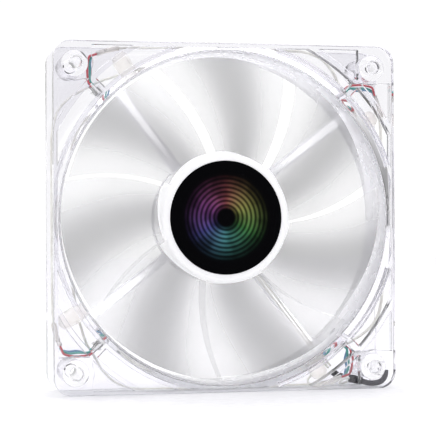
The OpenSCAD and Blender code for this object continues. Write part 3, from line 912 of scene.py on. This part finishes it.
def coil(k):
    """Enamelled wire wound round a stator tooth: a filled inside with each outer turn as its own strand."""
    turns = int((COIL_OUT - COIL_IN) / (2 * STRAND_R))
    tubes = []
    grown = LAYER_T - STRAND_R
    half_w, half_h = COIL_CORE[0] + grown, COIL_CORE[1] + grown
    for i in range(turns):
        x = COIL_IN + STRAND_R * (2 * i + 1)
        points = []
        for j in range(TURN_STEPS):
            a = 2 * math.pi * j / TURN_STEPS
            c, s = math.cos(a), math.sin(a)
            stretch = squareness(c, s, COIL_SQUARE)
            bulge = 1 - COIL_BULGE * (2 * i / turns - 1) ** 2
            across, up = half_w * c * stretch * bulge, half_h * s * stretch * bulge
            points.append((x, across, STATOR_Z + up))
        verts, faces = [], []
        for j, p in enumerate(points):
            out = Vector((0, p[1], p[2] - STATOR_Z)).normalized()
            for n in range(STRAND_SIDES):
                b = 2 * math.pi * n / STRAND_SIDES
                aside = math.cos(b) * out + math.sin(b) * Vector((1, 0, 0))
                verts.append(tuple(Vector(p) + STRAND_R * STRAND_SHARE * aside))
        for j in range(TURN_STEPS):
            here, there = j * STRAND_SIDES, (j + 1) % TURN_STEPS * STRAND_SIDES
            for n in range(STRAND_SIDES):
                m = (n + 1) % STRAND_SIDES
                faces.append((here + n, here + m, there + m, there + n))
        tubes.append((verts, faces))
    tubes.append(coil_filling(half_w - FILL_INSET, half_h - FILL_INSET))
    verts, faces = joined(*tubes)
    verts = [turned(v, 90 * (k - 1)) for v in verts]
    piece(f"winding_{k}", verts, faces, "housing", "copper_winding", [f"coil_{k}"], 60)


for k in CORNERS:
    coil(k)


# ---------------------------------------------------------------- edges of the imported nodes

FLAT_ANGLE = 0.5
EDGE_ANGLE = 30
FRAME_EDGE = 0.15


def soften(node, width, clamp=True):
    """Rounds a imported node's edges with modifiers. The clean weld drops the faces of no area they leave."""
    obj = NODES[node]
    weld = obj.modifiers.new("weld", "WELD")
    weld.merge_threshold = SLIVER
    flats = obj.modifiers.new("flats", "DECIMATE")
    flats.decimate_type = "DISSOLVE"
    flats.angle_limit = math.radians(FLAT_ANGLE)
    bevel = obj.modifiers.new("bevel", "BEVEL")
    bevel.width = width * MM
    bevel.segments = 2
    bevel.limit_method = "ANGLE"
    bevel.angle_limit = math.radians(EDGE_ANGLE)
    bevel.use_clamp_overlap = clamp
    bevel.harden_normals = False
    obj.modifiers.new("clean", "WELD").merge_threshold = SLIVER
    obj.modifiers.new("normals", "WEIGHTED_NORMAL").keep_sharp = False
    for poly in obj.data.polygons:
        poly.use_smooth = True


soften("frame", FRAME_EDGE, clamp=False)
SOFTENED = {
    "hub_label": 0.06, "rear_label": 0.04, "bearing_tube": 0.12, "bearing_sleeve": 0.15, "thrust_pad": 0.1,
    "oil_ring": 0.08, "stator_core": 0.06, "insulator_front": 0.12, "insulator_rear": 0.12,
    "circuit_board": 0.06, "driver_chip": 0.1, "hall_sensor": 0.08, "capacitor": 0.1, "terminal_pins": 0.06,
    "rotor_yoke": 0.15, "ring_magnet": 0.12, "shaft": 0.12, "shaft_boss": 0.12, "snap_ring": 0.06,
}
for node, width in SOFTENED.items():
    soften(node, width)


# ---------------------------------------------------------------- stage, lights and camera

LENS = 129.5
SENSOR = 36.0
CAMERA_AT = (-0.1209, -0.5497, -0.0078)
CAMERA_TO = (-0.0009, -0.0125, 0.0)
CAMERA_ROLL = -0.33


def looking(place, aim):
    turn = (Vector(aim) - Vector(place)).to_track_quat("-Z", "Y").to_matrix().to_4x4()
    return Matrix.Translation(place) @ turn


def on_stage(name, data):
    obj = bpy.data.objects.new(name, data)
    bpy.context.scene.collection.objects.link(obj)
    return obj


def camera():
    data = bpy.data.cameras.new("camera")
    data.lens = LENS
    data.sensor_width = SENSOR
    obj = on_stage("camera", data)
    obj.matrix_world = looking(CAMERA_AT, CAMERA_TO) @ Matrix.Rotation(math.radians(CAMERA_ROLL), 4, "Z")
    bpy.context.scene.camera = obj


def lamp(name, place, aim, size, power):
    data = bpy.data.lights.new(name, "AREA")
    data.shape = "DISK"
    data.size = size
    data.energy = power
    on_stage(name, data).matrix_world = looking(place, aim)


FRONT_LEVEL = 0.16
SIDE_SHARE = 0.22
TOP_EXTRA = 0.85
TENT_SHADE = (0.92, 0.9, 1.0)
FLOOR_HALF = 4.0


def tent():
    """A light tent: white behind the fan and overhead, dark grey in front and at the two sides."""
    sky = bpy.data.worlds.new("tent")
    bpy.context.scene.world = sky
    sky.use_nodes = True
    tree = sky.node_tree
    split = add(tree, "ShaderNodeSeparateXYZ")
    tree.links.new(add(tree, "ShaderNodeTexCoord").outputs["Generated"], split.inputs[0])
    x, y, z = split.outputs
    wall = remap(tree, y, -0.5, 0.5, FRONT_LEVEL, 1.05)
    sideways = remap(tree, compute(tree, "ABSOLUTE", x), 0.6, 0.9, 1.0, SIDE_SHARE)
    top = remap(tree, z, 0.3, 0.85, 0.0, TOP_EXTRA)
    level = compute(tree, "ADD", compute(tree, "MULTIPLY", wall, sideways), top)
    tree.links.new(mixed(tree, wall, TENT_SHADE, (1.0, 1.0, 1.0)), tree.nodes["Background"].inputs["Color"])
    tree.links.new(level, tree.nodes["Background"].inputs["Strength"])


def floor():
    """A plain pale floor under the fan, which runs out into the white of the tent."""
    mesh = bpy.data.meshes.new("floor")
    z = cad_box[0][2]
    corners = [(FLOOR_HALF * x, FLOOR_HALF * y, z) for x, y in SQUARE]
    mesh.from_pydata(corners, [], [(0, 1, 2, 3)])
    mesh.materials.append(finish("floor", (0.95, 0.95, 0.95), 0.85, 0.0, 3000.0, shade=0.97))
    on_stage("floor", mesh)


camera()
tent()
floor()
lamp("key", (-0.5, -0.7, 0.6), (0, 0, 0), 0.5, 1.8)
lamp("floor_light", (0, -0.35, 1.2), (0, -0.15, -0.06), 0.8, 1.0)
lamp("fill", (0.7, -0.6, 0.2), (0, 0, 0), 0.6, 1.0)
bpy.context.scene.view_settings.view_transform = "Standard"
